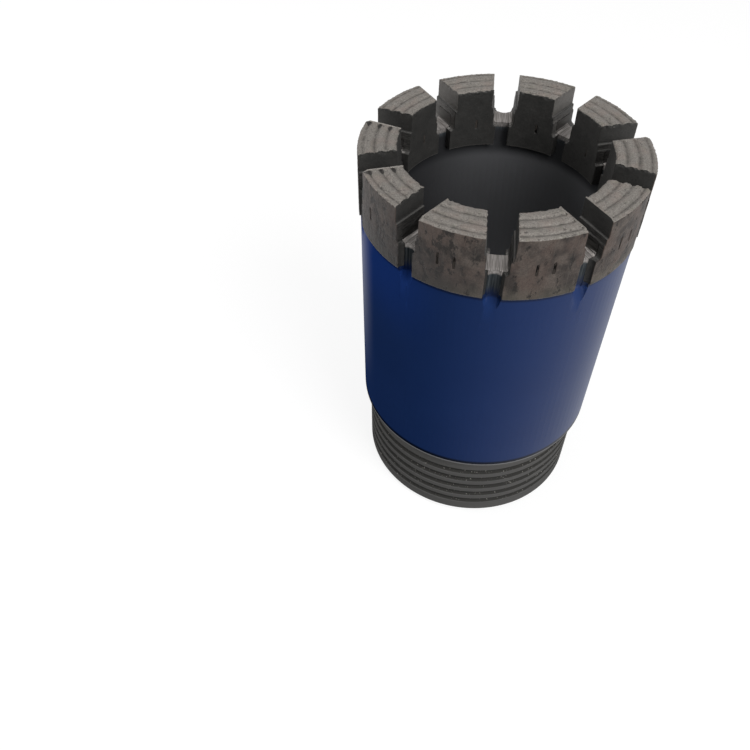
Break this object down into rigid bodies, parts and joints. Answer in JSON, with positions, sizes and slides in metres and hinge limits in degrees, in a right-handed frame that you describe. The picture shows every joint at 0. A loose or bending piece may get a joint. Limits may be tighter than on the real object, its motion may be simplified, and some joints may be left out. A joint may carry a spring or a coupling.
{
  "type": "diamond core bit",
  "caption": "Core drilling bit: a threaded steel blank with a painted body and, on its nose, a crown of ridged matrix segments parted by waterways.",
  "frame": {"origin": "on the bit's axis, at the end face of its thread", "axes": "+Z along the axis, from the thread up to the crown; one waterway opens towards -Y"},
  "size_m": [0.0754, 0.0752, 0.12],
  "materials": {
    "blank_paint": "satin blue paint over turned steel",
    "matrix": "sintered metal, dull and pitted",
    "gauge_pin": "dark sintered diamond, dull"
  },
  "bodies": {
    "root": {"steel_blank": "blank_paint", "segment_01": "matrix", "segment_02": "matrix", "segment_03": "matrix", "segment_04": "matrix", "segment_05": "matrix", "segment_06": "matrix", "segment_07": "matrix", "segment_08": "matrix", "segment_09": "matrix", "segment_10": "matrix", "outer_gauge_pins": "gauge_pin", "inner_gauge_pins": "gauge_pin"}
  },
  "joints": []
}
